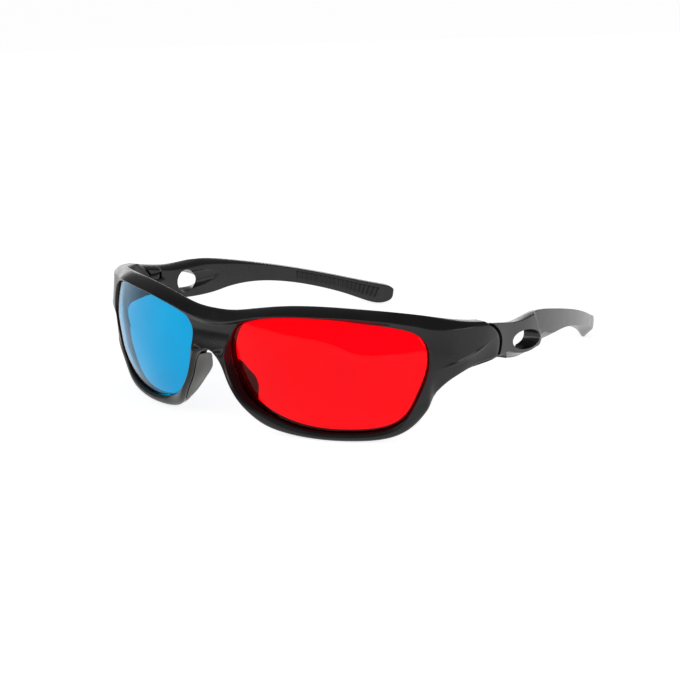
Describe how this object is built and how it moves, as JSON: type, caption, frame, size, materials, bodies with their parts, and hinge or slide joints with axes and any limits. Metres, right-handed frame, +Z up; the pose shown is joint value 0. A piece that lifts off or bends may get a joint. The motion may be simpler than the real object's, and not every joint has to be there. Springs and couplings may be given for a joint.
{
  "type": "anaglyph 3d glasses",
  "caption": "Wrap-around stereo viewing glasses with a red and a cyan filter lens in a dark moulded front, soft nose pads and folding temples with ribbed grips and oval windows.",
  "frame": {"origin": "middle of the footprint of the open glasses, on the surface they rest on", "axes": "+X towards the wearer's left (the red lens), +Y from the lenses back along the open temples, +Z up"},
  "size_m": [0.1454, 0.154, 0.0396],
  "materials": {
    "frame": "near-black injection moulded plastic, satin with polished edges",
    "lens_red": "clear red filter plastic, polished",
    "lens_cyan": "clear cyan filter plastic, polished",
    "pad": "matte grey soft plastic",
    "temple": "near-black injection moulded plastic, satin",
    "grip": "matte black soft plastic with ribs",
    "screw": "plain steel"
  },
  "bodies": {
    "front": {"front_frame": "frame", "lens_red": "lens_red", "lens_cyan": "lens_cyan", "nose_pad_left": "pad", "nose_pad_right": "pad", "hinge_screw_left": "screw", "hinge_screw_right": "screw"},
    "arm_left": {"temple_left": "temple", "grip_left": "grip"},
    "arm_right": {"temple_right": "temple", "grip_right": "grip"}
  },
  "joints": [
    {"name": "fold_left", "type": "hinge", "parent": "front", "child": "arm_left", "pos_m": [0.06929, -0.02836, 0.0268], "axis": [0, 0, 1], "range_deg": [0, 90]},
    {"name": "fold_right", "type": "hinge", "parent": "front", "child": "arm_right", "pos_m": [-0.06929, -0.02836, 0.0268], "axis": [0, 0, -1], "range_deg": [0, 80]}
  ]
}
